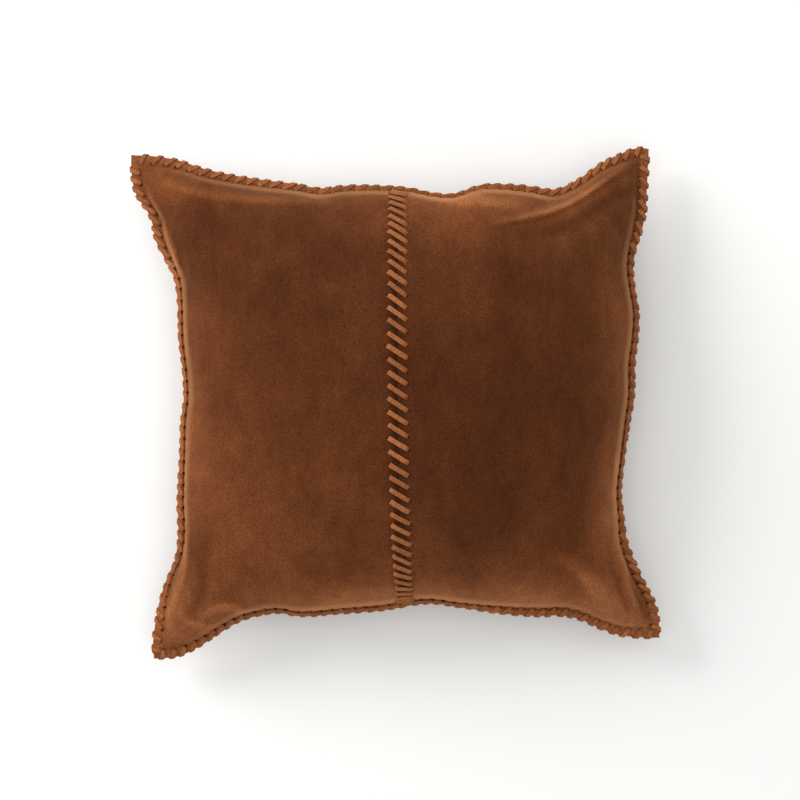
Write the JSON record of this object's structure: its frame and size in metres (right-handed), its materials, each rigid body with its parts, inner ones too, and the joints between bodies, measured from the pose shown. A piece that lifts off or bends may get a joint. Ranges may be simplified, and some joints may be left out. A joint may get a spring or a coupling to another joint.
{
  "type": "throw pillow",
  "caption": "Square suede throw pillow with thong-laced edges and centre seam, a feather insert, and a coil zip with sliding slider and swinging pull in its back.",
  "frame": {"origin": "on the surface the pillow lies on, under the middle of the cover's bounding box", "axes": "pillow lying on its back: +Z the way its face looks, +Y towards its top edge, +X towards the face's right side"},
  "size_m": [0.5082, 0.4871, 0.1486],
  "materials": {
    "suede": "matte",
    "thong": "matte",
    "ticking": "matte",
    "filling": "matte",
    "zip_tape": "matte",
    "zip_coil": "satin",
    "zip_metal": "satin",
    "thread": "matte"
  },
  "bodies": {
    "cushion": {"front_panel_left": "suede", "front_panel_right": "suede", "back_panel_upper": "suede", "back_panel_lower": "suede", "centre_lace": "thong", "edge_lace_top": "thong", "edge_lace_right": "thong", "edge_lace_bottom": "thong", "edge_lace_left": "thong", "insert_ticking_front": "ticking", "insert_ticking_back": "ticking", "insert_fill": "filling", "zip_tape_upper": "zip_tape", "zip_tape_lower": "zip_tape", "zip_coil_upper": "zip_coil", "zip_coil_lower": "zip_coil", "zip_top_stop_upper": "zip_metal", "zip_top_stop_lower": "zip_metal", "zip_bottom_stop": "zip_metal", "zip_sewing_upper": "thread", "zip_sewing_lower": "thread"},
    "zip_slider": {"zip_slider": "zip_metal"},
    "zip_pull": {"zip_pull": "zip_metal"}
  },
  "joints": [
    {"name": "slider_travel", "type": "slide", "parent": "cushion", "child": "zip_slider", "axis": [-1, 0, 0], "range_m": [0, 0.318]},
    {"name": "pull_swing", "type": "hinge", "parent": "zip_slider", "child": "zip_pull", "pos_m": [0.15945, -0.15926, 0.01994], "axis": [0, 0.7986, -0.6018], "range_deg": [-80, 80]}
  ]
}
